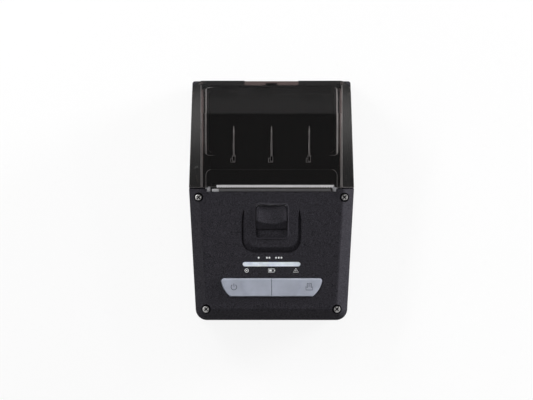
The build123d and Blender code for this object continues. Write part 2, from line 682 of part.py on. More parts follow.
def dome_block(inset):
    """Raised middle of the cover behind the step."""
    sections = []
    for y, top, _ in cover_profile()[2:8]:
        x = DOME_X - inset
        base, high = top - 2 - inset, top + DOME_STEP - inset
        points = [(-x, base), (-x, high - DOME_STEP * 0.6), (-x + 0.6, high), (x - 0.6, high),
                  (x, high - DOME_STEP * 0.6), (x, base)]
        if not inset:
            points = soften(points, EDGE / 2)
        sections.append(across(y, points))
    plan = rounded(-DOME_X + inset, DOME_X - inset, STEP_Y + inset, DOME_END_Y - inset, 2.0)
    return loft(sections, ruled=True) & rise(plan, 0, HEIGHT + 1)


def cover_surface_z(y):
    """Height of the shoulder along the cover."""
    rows = cover_profile()
    for (y0, z0, _), (y1, z1, _) in zip(rows, rows[1:]):
        if y0 <= y <= y1:
            return z0 + (z1 - z0) * (y - y0) / (y1 - y0)
    return rows[-1][1]


def cover():
    z0 = SEAM_Z + SEAM_GAP
    plan = rise(outline(rear_r=CORNER_R), 0, HEIGHT + 1) & half_space(SPLIT_Y + SPLIT_GAP, LENGTH)
    inner_plan = rise(outline(COVER_WALL, rear_r=CORNER_R), 0, HEIGHT + 1)
    inner_plan &= half_space(0, REAR_Y - COVER_WALL)
    outer = cover_block(0, z0) + dome_block(0)
    outer &= plan
    inner = cover_block(COVER_WALL, z0 - 1) + dome_block(COVER_WALL)
    inner &= inner_plan
    shell = outer - inner
    # rear edge rolls round the hinge axis
    rear_cut = box(-WIDTH, WIDTH, HINGE_Y, REAR_Y + 1, 0, HINGE_Z)
    shell -= rear_cut
    inside, ear_z = HINGE_Y - BEAD_R, HINGE_Z + BEAD_R
    bead = rod_x(HINGE_Y, HINGE_Z, BEAD_R, -EAR_X0 + 0.3, EAR_X0 - 0.3)
    bead -= rod_x(HINGE_Y, HINGE_Z, BEAD_R - 1.3, -KNUCKLE_X0, KNUCKLE_X0)
    bead -= box(-KNUCKLE_X0, KNUCKLE_X0, inside - 1, HINGE_Y, HINGE_Z - BEAD_R - 1, ear_z + 1)
    bead -= box(-KNUCKLE_X0, KNUCKLE_X0, HINGE_Y - 1, REAR_Y + 1, HINGE_Z, HINGE_Z + BEAD_R + 1)
    bead -= box(-LIP_HALF, LIP_HALF, REAR_Y - LIP_DEEP, REAR_Y + 1, 0, HEIGHT)
    shell += bead
    # cheeks from the roof down to the knuckles
    for side in (-1, 1):
        x0, x1 = side * (EAR_X0 - 0.3 - 1.6), side * (EAR_X0 - 0.3)
        cheek_points = [(inside, HINGE_Z), (HINGE_Y, HINGE_Z), (REAR_Y, HINGE_Z), (REAR_Y, HEIGHT),
                        (inside - 2, HEIGHT)]
        cheek = side_prism(cheek_points, x0, x1)
        shell += cheek & outer
        shell -= rod_x(HINGE_Y, HINGE_Z, PIN_R + RUN, side * (KNUCKLE_X0 - 1), side * EAR_X0)
        # room for the base's ear
        shell -= box(x1, side * WIDTH, inside - 0.4, REAR_Y + 1, 0, ear_z + 0.3)
    # finger lip over the notch in the base
    lip_y = REAR_Y - LIP_DEEP
    shell += box(-LIP_HALF, LIP_HALF, lip_y - 1.5, REAR_Y - COVER_WALL, HINGE_Z, HINGE_Z + LIP_T)
    shell -= box(-LIP_HALF, LIP_HALF, lip_y, REAR_Y + 1, HINGE_Z + LIP_T, HEIGHT)
    shell += box(-LIP_HALF - 1, LIP_HALF + 1, lip_y - 1.5, lip_y, HINGE_Z, 35.0) & outer
    # recess round the tear bar
    tear = rounded(-TEAR_X, TEAR_X, -10, TEAR_Y, 2.8)
    tear_cut = rise(tear, 0, 6) & half_space(SPLIT_Y, TEAR_Y)
    floor_z = DECK_REAR_Z - TEAR_DEEP
    shell -= side_prism([(SPLIT_Y, floor_z), (TEAR_Y, floor_z + tear_slope() * (TEAR_Y - SPLIT_Y)),
                         (TEAR_Y, HEIGHT), (SPLIT_Y, HEIGHT)], -TEAR_X, TEAR_X) & (Pos(0, 0, 34) * tear_cut)
    # mouth edge of the paper slot
    shell -= box(-TEAR_X + 1, TEAR_X - 1, SPLIT_Y, SPLIT_Y + SPLIT_GAP + 0.4, SEAM_Z, HEIGHT)
    for x in (-RIB_X, 0, RIB_X):
        shell += blade(x)
    return one(shell)


def blade(x):
    """Tapered blade that runs down the dome over its step, with a small foot beside its end."""
    sections = []
    for y, half, high in RIB_SECTIONS:
        z = cover_surface_z(y) + DOME_STEP
        tip = half * 0.3
        points = [(x - half, z - 1.2), (x - half, z - 0.1), (x - tip, z + high), (x + tip, z + high),
                  (x + half, z - 0.1), (x + half, z - 1.2)]
        sections.append(across(y, points))
    front_z, step_z = cover_surface_z(RIB_FRONT_Y), cover_surface_z(STEP_Y) + DOME_STEP
    foot_points = [(STEP_Y + 0.8, step_z + 0.7), (RIB_FRONT_Y + 0.6, front_z + 0.7),
                   (RIB_FRONT_Y, front_z + 0.2), (RIB_FRONT_Y, front_z - 0.6), (STEP_Y + 0.8, step_z - 1.6)]
    foot = side_prism(foot_points, x - FOOT_HALF, x + FOOT_HALF)
    foot += box(x - 2.2 * FOOT_HALF, x, RIB_FRONT_Y, RIB_FRONT_Y + 2.2, front_z - 0.6, front_z + 0.45)
    return loft(sections, ruled=True) + foot


def tear_slope():
    """Rise of the tear recess's floor towards the rear."""
    return (cover_surface_z(TEAR_Y) - DECK_REAR_Z) / (TEAR_Y - SPLIT_Y - SPLIT_GAP)


def tear_bar():
    """Steel blade along the cover's front edge, with a row of teeth."""
    y0 = SPLIT_Y + SPLIT_GAP + 0.4
    floor_z = DECK_REAR_Z - TEAR_DEEP + tear_slope() * (y0 - SPLIT_Y)
    count = int((TEAR_BAR_X1 - TEAR_BAR_X0) / TOOTH_PITCH)
    points = [(TEAR_BAR_X0, TEAR_BAR_WIDE), (TEAR_BAR_X0, 0)]
    for i in range(count):
        x = TEAR_BAR_X0 + (i + 0.5) * TOOTH_PITCH
        points += [(x, -TOOTH_HIGH), (x + TOOTH_PITCH / 2, 0)]
    points += [(TEAR_BAR_X1, TEAR_BAR_WIDE)]
    blade = extrude(make_face(Polyline(*points, close=True)), 0.4)
    return one(Pos(0, y0, floor_z + 0.02) * Rot(degrees(atan2(tear_slope(), 1)), 0, 0) * blade)


def exit_guide():
    """Steel strip on the upper case's side of the paper slot, its top set off from the deck's edge."""
    top = deck_z(PAPER_EDGE_Y) + 0.12
    guide = box(GUIDE_X0, GUIDE_X1, PAPER_EDGE_Y, GUIDE_Y, top - 2.7, top)
    return one(guide - box(GUIDE_X0, GUIDE_X1, PAPER_EDGE_Y, PAPER_EDGE_Y + 0.4, top - 1.3, top))


def paper_bin():
    """Trough that the roll lies in, with a cheek at each end."""
    side = BIN_HALF + BIN_CHEEK
    bin_ = rod_x(BIN_Y, BIN_Z, BIN_R + BIN_WALL, -side, side)
    bin_ -= half_space(-10, LENGTH, BIN_Z, HEIGHT + 5)
    cheek_points = [(BIN_Y - BIN_R - BIN_WALL, BIN_Z), (BIN_Y + BIN_R + BIN_WALL - 2, BIN_Z),
                    (BIN_Y + 12, 30), (BIN_Y - 12, 30), (17.6, BIN_Z + 1)]
    for s in (-1, 1):
        bin_ += side_prism(cheek_points, s * BIN_HALF, s * side)
    bin_ -= rod_x(BIN_Y, BIN_Z, BIN_R, -BIN_HALF, BIN_HALF)
    bin_ -= half_space(10, 14.2, 0, HEIGHT)
    for s in (-1, 1):
        bin_ -= box(s * (BIN_HALF - 0.3), s * WIDTH, 0, 17.2, 0, HEIGHT)
    bin_ -= half_space(52.0, 60, 0, HEIGHT)
    # slot for the mark sensor
    bin_ -= box(-3.2, 3.2, 14, 18, 12, 20)
    return one(bin_)


def mark_sensor():
    """Reflective sensor for marks on the paper, in the bin's slot."""
    body = box(-3.0, 3.0, 15.0, 17.2, 12.4, 19.4)
    for x in (-1.3, 1.3):
        body -= Pos(x, 17.2, 16) * Rot(90, 0, 0) * Cylinder(0.8, 0.8)
    return one(body)


def frame_screws():
    top = FRAME_Z + 1
    return together([rod_z(x, y, 1.6, top, top + 1) + rod_z(x, y, FRAME_SCREW_R, FLOOR + 0.4, top)
                     for x, y in FRAME_SCREWS])


def battery_terminals():
    y = BATTERY_Y1
    return together([box(x - 0.9, x + 0.9, y, y + 0.15, 5.0, 10.5) for x in TERMINAL_X])


def battery_contacts():
    """Sprung blades in a holder behind the bay's rear wall."""
    rear = BATTERY_Y1 + BAY_GAP + BAY_WALL
    holder = box(TERMINAL_X[0] - 2, TERMINAL_X[-1] + 2, rear, rear + 2.2, 4.2, 11.5)
    for x in TERMINAL_X:
        holder += box(x - 0.6, x + 0.6, BATTERY_Y1 + 0.2, rear, 6.5, 9.0)
    return one(holder)


def battery_catch():
    """Thumb catch in the battery's front edge."""
    y0 = -REAR_Y + 0.5
    tab = box(CATCH_X - 4, CATCH_X + 4, y0, y0 + 2.2, CATCH_Z, BATTERY_H - 0.2)
    tab += box(CATCH_X - 2.5, CATCH_X + 2.5, y0 + 0.6, y0 + 2.0, BATTERY_H - 0.2, BATTERY_H + BAY_GAP - 0.1)
    for i in range(2):
        tab -= rod_x(y0, CATCH_Z + 0.9 + i * 1.1, 0.35, CATCH_X - 3.2, CATCH_X + 3.2)
    return one(tab)


def hinge_pins():
    x0, x1 = KNUCKLE_X0 + 0.2, EAR_X0 + 3.2
    return together([rod_x(HINGE_Y, HINGE_Z, PIN_R, side * x0, side * x1) for side in (-1, 1)])


def latch_slider():
    """Thumb piece: dished ramp up to a crest, and a face that falls forward from it."""
    x, rear = WINDOW_X - 0.3, WINDOW_Y1 - 0.3
    foot, neck = 0.2 - LEDGE_DEEP, LEDGE_Y + LATCH_TRAVEL + 0.4
    points = [(rear, -0.3), (CREST_Y, CREST_HIGH), (SLIDER_Y0, foot + 0.5), (SLIDER_Y0, foot),
              (neck, foot), (neck, SLIDE_TOP), (rear, SLIDE_TOP)]
    body = side_prism(points, -x, x)
    body &= Pos(0, 0, -5) * extrude(rounded(-x, x, SLIDER_Y0, rear, WINDOW_R - 0.3), 10)
    r = (DISH_HALF ** 2 + DISH_DEEP ** 2) / (2 * DISH_DEEP)
    ramp = degrees(atan2(-0.3 - CREST_HIGH, rear - CREST_Y))
    dish = Pos(0, 0, r - DISH_DEEP) * Rot(90, 0, 0) * Cylinder(r, LENGTH)
    body -= Pos(0, CREST_Y, CREST_HIGH) * Rot(ramp, 0, 0) * dish
    return one(DECK * body)


def latch_plate():
    """Flat steel slide under the deck: centre, cross bar and two hooks."""
    n0, n1 = SLIDE_TOP - SLIDE_T, SLIDE_TOP
    plate = deck_box(-6.5, 6.5, -12.5, 0, n0, n1)
    plate += deck_box(-HOOK_X1, HOOK_X1, -3.0, 1.2, n0, n1)
    for side in (-1, 1):
        plate += deck_box(side * HOOK_X0, side * HOOK_X1, 1.2, 6.5, n0, n1)
        plate += deck_box(side * 9.5, side * 12.5, -3.0, -2.2, n0 - 2.6, n0)
    return one(plate)


def latch_tray():
    """Floor of the latch's well, hung under the deck."""
    tray = deck_box(-9.2, 9.2, -20.2, -3.8, -4.8, -4.0)
    for side in (-1, 1):
        tray += deck_box(side * 7.6, side * 9.2, -20.2, -3.8, -4.0, -3.1)
    tray += deck_box(-9.2, 9.2, -20.2, WINDOW_Y0 - 0.1, -4.0, -DECK_WALL)
    return one(tray)


def latch_screws():
    """Two screws that hold the thumb piece on the slide."""
    low = SLIDE_TOP - SLIDE_T
    return together([on_deck(Pos(x, -6) * Circle(1.2), low - 0.6, low) for x in (-4, 4)])


def latch_springs():
    return together([DECK * (Pos(side * 11, -3.1, -4.6) * Rot(90, 0, 0) * coil(1.1, 0.2, 8.0, 7))
                     for side in (-1, 1)])


def key(side):
    half = box(0, side * WIDTH, -LENGTH, LENGTH, -20, 20)
    split = side * KEY_SPLIT / 2
    cap = extrude(key_outline(), KEY_PROUD + 2.1)
    cap = Pos(0, 0, -2.1) * cap
    cap &= box(split, side * WIDTH, -LENGTH, LENGTH, -20, 20)
    top = cap.faces().sort_by(Axis.Z)[-1]
    cap = fillet(top.edges(), 0.35)
    flange = Pos(0, 0, -2.9) * extrude(key_outline(1.0), 0.8)
    cap += flange & box(split, side * WIDTH, -LENGTH, LENGTH, -20, 20)
    cap += Pos(side * KEY_STEM_X, KEY_STEM_Y, -4.0) * extrude(Circle(1.6), 1.2)
    # thin curved ridge that marks the symbol's field
    places = ((14.2, KEY_TOP_Y - 0.9), (13.4, KEY_TOP_Y - 4.6), (11.4, KEY_LOW_Y + 0.9))
    arc = ThreePointArc(*[(side * x, y) for x, y in places])
    ridge = Pos(0, 0, KEY_PROUD - 0.2) * extrude(trace(arc, 0.3), 0.4)
    cap += ridge
    return one(DECK * cap)


def control_board():
    return one(deck_box(-24.5, 24.5, -47.0, -27.0, CONTROL_TOP - 1, CONTROL_TOP))


def key_switches():
    switches = []
    for x in (-KEY_STEM_X, KEY_STEM_X):
        body = deck_box(x - 2.5, x + 2.5, KEY_STEM_Y - 2.5, KEY_STEM_Y + 2.5, CONTROL_TOP, CONTROL_TOP + 1.6)
        button = on_deck(Pos(x, KEY_STEM_Y) * Circle(1.2), CONTROL_TOP + 1.6, CONTROL_TOP + 2.25)
        switches.append(body + button)
    return together(switches)


def status_leds():
    return together([deck_box(x - 0.8, x + 0.8, BAR_Y - 0.5, BAR_Y + 0.5, CONTROL_TOP, CONTROL_TOP + 0.7)
                     for x in LED_X])


def light_pipe():
    pipe = on_deck(bar_outline(), -6.2, 0.12)
    pipe += on_deck(bar_outline(0.9), -2.8, -2.05)
    return one(pipe)


def main_board():
    return one(box(-33.5, 33.5, -49.0, -17.4, BOARD_Z, BOARD_Z + BOARD_T))


def board_chips():
    z = BOARD_Z + BOARD_T
    return together([box(x - a / 2, x + a / 2, y - b / 2, y + b / 2, z, z + h) for x, y, a, b, h in CHIPS])


def dc_jack():
    x = -flank_x(JACK_Y - 4) + WALL + 2 * FIT
    z = BOARD_Z + BOARD_T
    body = box(x, x + 10, JACK_Y - 4, JACK_Y + 4, z, PORT_Z + PORT_H / 2 + 2.7)
    bore = rod_x(JACK_Y, PORT_Z + PORT_H / 2, 2.5, x - 1, x + 8)
    pin = rod_x(JACK_Y, PORT_Z + PORT_H / 2, 0.65, x + 1.0, x + 8)
    return one(body - bore + pin)


def usb_socket():
    x = -flank_x(USB_Y - 4) + WALL + 2 * FIT
    z = BOARD_Z + BOARD_T
    body = box(x, x + 8, USB_Y - 3.8, USB_Y + 3.8, z, PORT_Z + 5.0)
    cavity = box(x - 1, x + 6.5, USB_Y - 3.4, USB_Y + 3.4, PORT_Z + 1.4, PORT_Z + 4.6)
    tongue = box(x + 1, x + 6.5, USB_Y - 2.4, USB_Y + 2.4, PORT_Z + 2.7, PORT_Z + 3.4)
    return one(body - cavity + tongue)


def port_cover():
    """Rubber flap whose rear edge is a round bead on its own hinge line."""
    y = PORT_Y1 - PORT_FLAP / 2
    x = PORT_FLAP / 2 - flank_x(y)
    flap = port_prism() & flank_band(0, PORT_FLAP, SEAM_Z, HEIGHT)
    flap -= box(-WIDTH, 0, y, PORT_Y1 + 1, 0, HEIGHT)
    flap += rod_z(x, y, PORT_FLAP / 2, PORT_Z, PORT_Z + PORT_H)
    # lip for a fingernail at the free end
    flap -= rod_z(-flank_x(PORT_Y0 + 1.6), PORT_Y0 + 1.6, 0.45, PORT_Z + PORT_R, PORT_Z + PORT_H - PORT_R)
    return one(flap)


def battery_case():
    half = BATTERY_HALF
    pack = base_form(BATTERY_H) & box(-half, half, -LENGTH, BATTERY_Y1, 0.2, BATTERY_H)
    pack -= box(-half + 1.2, half - 1.2, -REAR_Y + 3.2, BATTERY_Y1 - 1.2, 1.6, BATTERY_H - 1.2)
    for side in (-1, 1):
        out = side * (half + RAIL_OUT - BAY_GAP)
        pack += box(side * half, out, -REAR_Y + 2.5, BATTERY_Y1, RAIL_Z, RAIL_Z + RAIL_H)
    # seat of the catch
    low = CATCH_Z - CATCH_TRAVEL - 0.1
    pack -= box(CATCH_X - 4.1, CATCH_X + 4.1, -REAR_Y - 1, -REAR_Y + 2.9, low, BATTERY_H + 1)
    # finger grooves in the front face
    for i in range(4):
        z = 5.0 + i * 2.2
        pack -= rod_x(-REAR_Y - 0.2, z, 0.7, -9, 9)
    return one(pack)


def battery_cells():
    cells = []
    for side in (-1, 1):
        x0, x1 = side * 0.3, side * (BATTERY_HALF - 1.5)
        cell = box(x0, x1, -REAR_Y + 3.6, BATTERY_Y1 - 1.5, 1.9, BATTERY_H - 1.5)
        cells.append(fillet(cell.edges().filter_by(Axis.Y), 3.0))
    return together(cells)


def case_screws():
    screws = []
    for x, y, head_z in screw_places():
        head = rod_z(x, y, SCREW_HEAD_R, head_z - 1.3, head_z)
        head = fillet(head.edges().sort_by(Axis.Z)[-1], 0.5)
        for a in (45, 135):
            head -= Pos(x, y, head_z) * Rot(0, 0, a) * Box(CROSS_LONG, CROSS_WIDE, 1.6)
        screws.append(head + rod_z(x, y, SCREW_R, WALL_BOSS_Z + 1.5, head_z - 1.3))
    return together(screws)


PIECES = {
    "lower_case": lower_case,
    "upper_case": upper_case,
    "cover": cover,
    "tear_bar": tear_bar,
    "exit_guide": exit_guide,
    "platen_holder": platen_holder,
    "platen_shaft": platen_shaft,
    "platen_rubber": platen_rubber,
    "platen_bushes": platen_bushes,
    "platen_gear": platen_gear,
    "idler_gear": idler_gear,
    "reduction_gear": reduction_gear,
    "motor_pinion": motor_pinion,
    "gear_studs": gear_studs,
    "motor": motor,
    "print_frame": print_frame,
    "print_head": print_head,
    "heat_sink": heat_sink,
    "head_shaft": head_shaft,
    "head_springs": head_springs,
    "paper_bin": paper_bin,
    "hinge_pins": hinge_pins,
    "latch_slider": latch_slider,
    "latch_plate": latch_plate,
    "latch_tray": latch_tray,
    "latch_springs": latch_springs,
    "latch_screws": latch_screws,
    "mark_sensor": mark_sensor,
    "frame_screws": frame_screws,
    "power_key": lambda: key(-1),
    "feed_key": lambda: key(1),
    "control_board": control_board,
    "key_switches": key_switches,
    "status_leds": status_leds,
    "light_pipe": light_pipe,
    "main_board": main_board,
    "board_chips": board_chips,
    "dc_jack": dc_jack,
    "usb_socket": usb_socket,
    "port_cover": port_cover,
    "battery_case": battery_case,
    "battery_cells": battery_cells,
    "battery_terminals": battery_terminals,
    "battery_catch": battery_catch,
    "battery_contacts": battery_contacts,
    "case_screws": case_screws,
}

os.makedirs("parts", exist_ok=True)
for name, make in PIECES.items():
    export_step(make(), f"parts/{name}.step")
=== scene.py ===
import json
import math

import bmesh
import bpy
from mathutils import Matrix, Vector


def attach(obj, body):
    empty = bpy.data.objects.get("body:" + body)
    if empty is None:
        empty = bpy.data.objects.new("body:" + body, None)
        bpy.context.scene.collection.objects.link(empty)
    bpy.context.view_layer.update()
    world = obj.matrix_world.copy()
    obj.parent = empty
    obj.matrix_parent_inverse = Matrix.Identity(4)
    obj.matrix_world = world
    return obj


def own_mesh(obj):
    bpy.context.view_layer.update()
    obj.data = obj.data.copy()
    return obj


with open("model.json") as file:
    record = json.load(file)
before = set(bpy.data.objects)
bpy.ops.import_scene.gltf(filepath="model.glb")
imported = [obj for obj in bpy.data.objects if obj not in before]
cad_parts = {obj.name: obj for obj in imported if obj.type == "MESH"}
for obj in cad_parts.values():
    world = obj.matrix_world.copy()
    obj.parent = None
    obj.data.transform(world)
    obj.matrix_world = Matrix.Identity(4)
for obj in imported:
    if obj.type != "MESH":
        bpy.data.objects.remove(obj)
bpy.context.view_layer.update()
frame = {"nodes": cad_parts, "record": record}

MM = 0.001
nodes = frame["nodes"]

# The deck of the upper case, as the CAD has it, in millimetres
DECK_REAR_Z = 36.0
DECK_FRONT_Z = 32.0
DECK_LONG = 58.8
SPLIT_Y = 6.0               # where the deck ends and the cover begins
DECK_SLOPE = (DECK_REAR_Z - DECK_FRONT_Z) / DECK_LONG
DECK_ORIGIN = Vector((0, 0, DECK_REAR_Z - SPLIT_Y * DECK_SLOPE))
DECK_UP = Vector((0, -DECK_SLOPE, 1)).normalized()
DECK_REARWARD = Vector((0, 1, DECK_SLOPE)).normalized()


def on_deck(x, y, n=0.0):
    """Point in metres for a place on the deck, n above it, all in millimetres."""
    return (DECK_ORIGIN + Vector((x, 0, 0)) + y * DECK_REARWARD + n * DECK_UP) * MM


# Materials


class Shader:
    """A material whose Principled shader is fed by small chains of procedural nodes."""

    def __init__(self, name, colour, rough, **sockets):
        self.material = bpy.data.materials.new(name)
        self.material.use_nodes = True
        self.tree = self.material.node_tree
        self.tree.nodes.clear()
        self.out = self.tree.nodes.new("ShaderNodeOutputMaterial")
        self.bsdf = self.tree.nodes.new("ShaderNodeBsdfPrincipled")
        self.tree.links.new(self.bsdf.outputs[0], self.out.inputs["Surface"])
        self.colour = colour
        self.bsdf.inputs["Base Color"].default_value = (*colour, 1)
        self.bsdf.inputs["Roughness"].default_value = rough
        for key, value in sockets.items():
            self.bsdf.inputs[key.replace("_", " ")].default_value = value
        self.coord = self.tree.nodes.new("ShaderNodeTexCoord").outputs["Object"]

    def node(self, kind, inputs=None, **settings):
        made = self.tree.nodes.new(kind)
        for key, value in settings.items():
            setattr(made, key, value)
        for key, value in (inputs or {}).items():
            if isinstance(value, bpy.types.NodeSocket):
                self.tree.links.new(value, made.inputs[key])
            else:
                made.inputs[key].default_value = value
        return made

    def noise(self, size_mm, detail=2.0, stretch=None):
        """Noise whose grain is about size_mm, drawn out along the axes where stretch is small."""
        vector = self.coord
        if stretch:
            vector = self.node("ShaderNodeMapping", {"Vector": vector, "Scale": stretch}).outputs[0]
        inputs = {"Vector": vector, "Scale": 1 / (size_mm * MM), "Detail": detail}
        return self.node("ShaderNodeTexNoise", inputs).outputs[0]

    def ramp(self, value, low, high, start=0.35, end=0.65):
        """Value between start and end drawn out to low and high."""
        inputs = {"Value": value, "From Min": start, "From Max": end, "To Min": low, "To Max": high}
        return self.node("ShaderNodeMapRange", inputs).outputs[0]

    def tint(self, value, dark, light):
        """Base colour that runs from dark to light times the plain colour with value."""
        low = tuple(c * dark for c in self.colour)
        high = tuple(min(c * light, 1) for c in self.colour)
        inputs = {"Factor": value, "A": (*low, 1), "B": (*high, 1)}
        mixed = self.node("ShaderNodeMix", inputs, data_type="RGBA")
        # the third output is the colour
        self.tree.links.new(mixed.outputs[2], self.bsdf.inputs["Base Color"])

    def roughness(self, value, low, high):
        self.tree.links.new(self.ramp(value, low, high), self.bsdf.inputs["Roughness"])

    def bump(self, *layers):
        """Stacks bump layers of (height, depth in mm)."""
        normal = None
        for height, depth in layers:
            inputs = {"Height": height, "Distance": depth * MM, "Strength": 1.0}
            if normal:
                inputs["Normal"] = normal
            normal = self.node("ShaderNodeBump", inputs).outputs[0]
        self.tree.links.new(normal, self.bsdf.inputs["Normal"])


def textured_plastic(name, colour, grain, depth, rough, spread):
    """Spark-eroded moulding: fine grain that shows as speckle, with roughness that varies slowly."""
    s = Shader(name, colour, 0.58, IOR=1.5, Specular_IOR_Level=0.035)
    fine = s.noise(grain, 2.0)
    coarse = s.noise(14, 2.0)
    s.tint(s.ramp(fine, 0, 1, 0.36, 0.64), *spread)
    s.roughness(coarse, *rough)
    s.bump((fine, depth), (s.noise(grain * 3, 1.0), depth * 0.6))
    return s.material


def satin_plastic(name, colour, rough):
    s = Shader(name, colour, rough, IOR=1.5)
    s.tint(s.ramp(s.noise(6, 3.0), 0, 1), 0.88, 1.14)
    s.roughness(s.noise(3, 3.0), rough - 0.06, rough + 0.1)
    s.bump((s.noise(0.5, 2.0), 0.004))
    return s.material


def metal(name, colour, rough, stretch, depth=0.002):
    """Brushed or ground metal, its grain drawn out along one axis."""
    s = Shader(name, colour, rough, Metallic=1.0)
    grain = s.noise(0.25, 3.0, stretch)
    s.tint(s.ramp(grain, 0, 1), 0.85, 1.1)
    s.roughness(s.noise(2.5, 3.0), rough - 0.07, rough + 0.12)
    s.bump((grain, depth))
    return s.material


def smoked_cover():
    s = Shader("smoked_cover", (0.1, 0.075, 0.072), 0.06, IOR=1.24, Transmission_Weight=1.0)
    s.roughness(s.noise(9, 4.0), 0.04, 0.1)
    s.bump((s.noise(12, 2.0), 0.006))
    return s.material


def silicone(name, colour):
    s = Shader(name, colour, 0.56, IOR=1.42, Sheen_Weight=0.15, Sheen_Roughness=0.4)
    s.tint(s.ramp(s.noise(5, 4.0), 0, 1), 0.93, 1.06)
    s.roughness(s.noise(1.2, 3.0), 0.5, 0.66)
    s.bump((s.noise(0.2, 2.0), 0.006))
    return s.material


def light_bar():
    s = Shader("milky_light_bar", (0.72, 0.77, 0.84), 0.32, IOR=1.49,
               Subsurface_Weight=0.35, Subsurface_Radius=(0.002, 0.002, 0.003))
    s.tint(s.ramp(s.noise(3, 3.0), 0, 1), 0.92, 1.08)
    s.roughness(s.noise(1.5, 2.0), 0.26, 0.4)
    return s.material


def board():
    """Green solder mask with the copper's runs showing through as paler lanes."""
    s = Shader("solder_mask", (0.02, 0.14, 0.07), 0.3, IOR=1.5)
    cells = s.node("ShaderNodeTexBrick", {
        "Vector": s.coord, "Scale": 260.0, "Mortar Size": 0.03,
        "Color1": (0, 0, 0, 1), "Color2": (0.3, 0.3, 0.3, 1), "Mortar": (1, 1, 1, 1)})
    s.tint(cells.outputs["Color"], 0.8, 1.8)
    s.roughness(s.noise(4, 2.0), 0.24, 0.4)
    s.bump((cells.outputs["Color"], 0.01))
    return s.material


def foil():
    s = Shader("cell_foil", (0.5, 0.52, 0.55), 0.35, Metallic=1.0)
    creases = s.noise(3.5, 4.0)
    s.tint(s.ramp(creases, 0, 1), 0.8, 1.15)
    s.roughness(s.noise(1.0, 2.0), 0.28, 0.48)
    s.bump((creases, 0.12))
    return s.material


FINISHES = {
    "case_black": textured_plastic("textured_black", (0.025, 0.0238, 0.0285), 0.34, 0.05,
                                   (0.4, 0.52), (0.42, 1.75)),
    "cover_smoke": smoked_cover(),
    "key_silicone": silicone("blue_grey_silicone", (0.365, 0.388, 0.458)),
    "frame_steel": metal("zinc_plated_sheet", (0.6, 0.6, 0.62), 0.34, (1, 8, 8)),
    "ground_steel": metal("ground_bar", (0.84, 0.83, 0.84), 0.55, (0.2, 8, 8)),
    "screw_steel": metal("satin_screw", (0.6, 0.59, 0.58), 0.38, (4, 4, 1)),
    "heat_sink_metal": metal("extruded_aluminium", (0.76, 0.76, 0.78), 0.36, (0.1, 6, 6),
                             depth=0.004),
    "head_ceramic": satin_plastic("glazed_ceramic", (0.07, 0.055, 0.045), 0.2),
    "roller_rubber": textured_plastic("ground_rubber", (0.028, 0.028, 0.03), 0.18, 0.012,
                                      (0.7, 0.85), (0.85, 1.2)),
    "gear_plastic": satin_plastic("acetal", (0.78, 0.77, 0.73), 0.38),
    "inner_black": satin_plastic("moulded_black", (0.022, 0.022, 0.024), 0.42),
    "board_green": board(),
    "chip_black": textured_plastic("chip_package", (0.03, 0.03, 0.032), 0.14, 0.008,
                                   (0.5, 0.62), (0.85, 1.2)),
    "light_white": light_bar(),
    "socket_metal": metal("tin_plate", (0.7, 0.7, 0.7), 0.3, (1, 6, 6)),
    "contact_gold": metal("gold_flash", (0.8, 0.6, 0.28), 0.25, (1, 4, 4)),
    "flap_rubber": textured_plastic("flap_rubber", (0.02, 0.02, 0.022), 0.25, 0.012,
                                    (0.62, 0.78), (0.85, 1.2)),
    "cell_foil": foil(),
}
slot_of = {part["node"]: part["material_slot"] for part in frame["record"]["subparts"]}
for name, obj in nodes.items():
    obj.data.materials.clear()
    obj.data.materials.append(FINISHES[slot_of[name]])
# the exit guide is sheet steel like the frame, with a duller face
nodes["exit_guide"].data.materials[0] = metal("dull_guide", (0.15, 0.147, 0.15), 0.5, (0.2, 8, 8))

# Soft edges on the smoked cover, which catch the light as moulded edges do, and whose bevel faces take
# a lighter material that paints a highlight along them, in millimetres
WELD_GAP = 0.005
CREASE = math.radians(11)       # the least turn of an edge that counts as a crease
SHORTEST = 0.2                  # the shortest edge that is softened
SOFT_WIDE = 0.2
COVER_FOOT_Z = 29
COVER_REAR_Y = 55
COVER_SIDE_X = 38
# Edges across the cover that stay sharp: ranges of |x| behind its bend, and at its front step
BEND_Y = 40
BEND_X = ((-1, 30), (32, 34))
STEP_Y = (21, 24)
STEP_X = ((-1, 14), (24, 28))


def mark_creases(mesh, chosen):
    """Weights the outward creases whose middles chosen takes, for a bevel; the others are sharp."""
    bm = bmesh.new()
    bm.from_mesh(mesh)
    twins = bmesh.ops.find_doubles(bm, verts=bm.verts, dist=WELD_GAP * MM)["targetmap"]
    sides = {}
    for edge in bm.edges:
        key = frozenset(twins.get(vert, vert).index for vert in edge.verts)
        sides.setdefault(key, []).append(edge)
    weights = mesh.attributes.new("bevel_weight_edge", "FLOAT", "EDGE").data
    sharp = mesh.attributes.get("sharp_edge")
    if sharp is None:
        sharp = mesh.attributes.new("sharp_edge", "BOOLEAN", "EDGE")
    for edges in sides.values():
        faces = [face for edge in edges for face in edge.link_faces]
        if len(faces) != 2 or faces[0].normal.angle(faces[1].normal, 0) < CREASE:
            continue
        one, other = faces
        outward = (other.calc_center_median() - one.calc_center_median()).dot(one.normal) < 0
        middle = (edges[0].verts[0].co + edges[0].verts[1].co) / 2 / MM
        soft = outward and edges[0].calc_length() > SHORTEST * MM and chosen(*middle)
        for edge in edges:
            weights[edge.index].value = float(soft)
            sharp.data[edge.index].value = not soft
    bm.free()


def within(value, ranges):
    return any(low < value < high for low, high in ranges)


def on_cover_outside(x, y, z):
    """The outside of the cover, but for its rear edge and most of the edges that run across it; the
    bevel with its painted highlight goes there.
    """
    bend = y > BEND_Y and within(abs(x), BEND_X)
    step = within(y, [STEP_Y]) and within(abs(x), STEP_X)
    outside = z > COVER_FOOT_Z and y < COVER_REAR_Y and abs(x) < COVER_SIDE_X
    return outside and not bend and not step


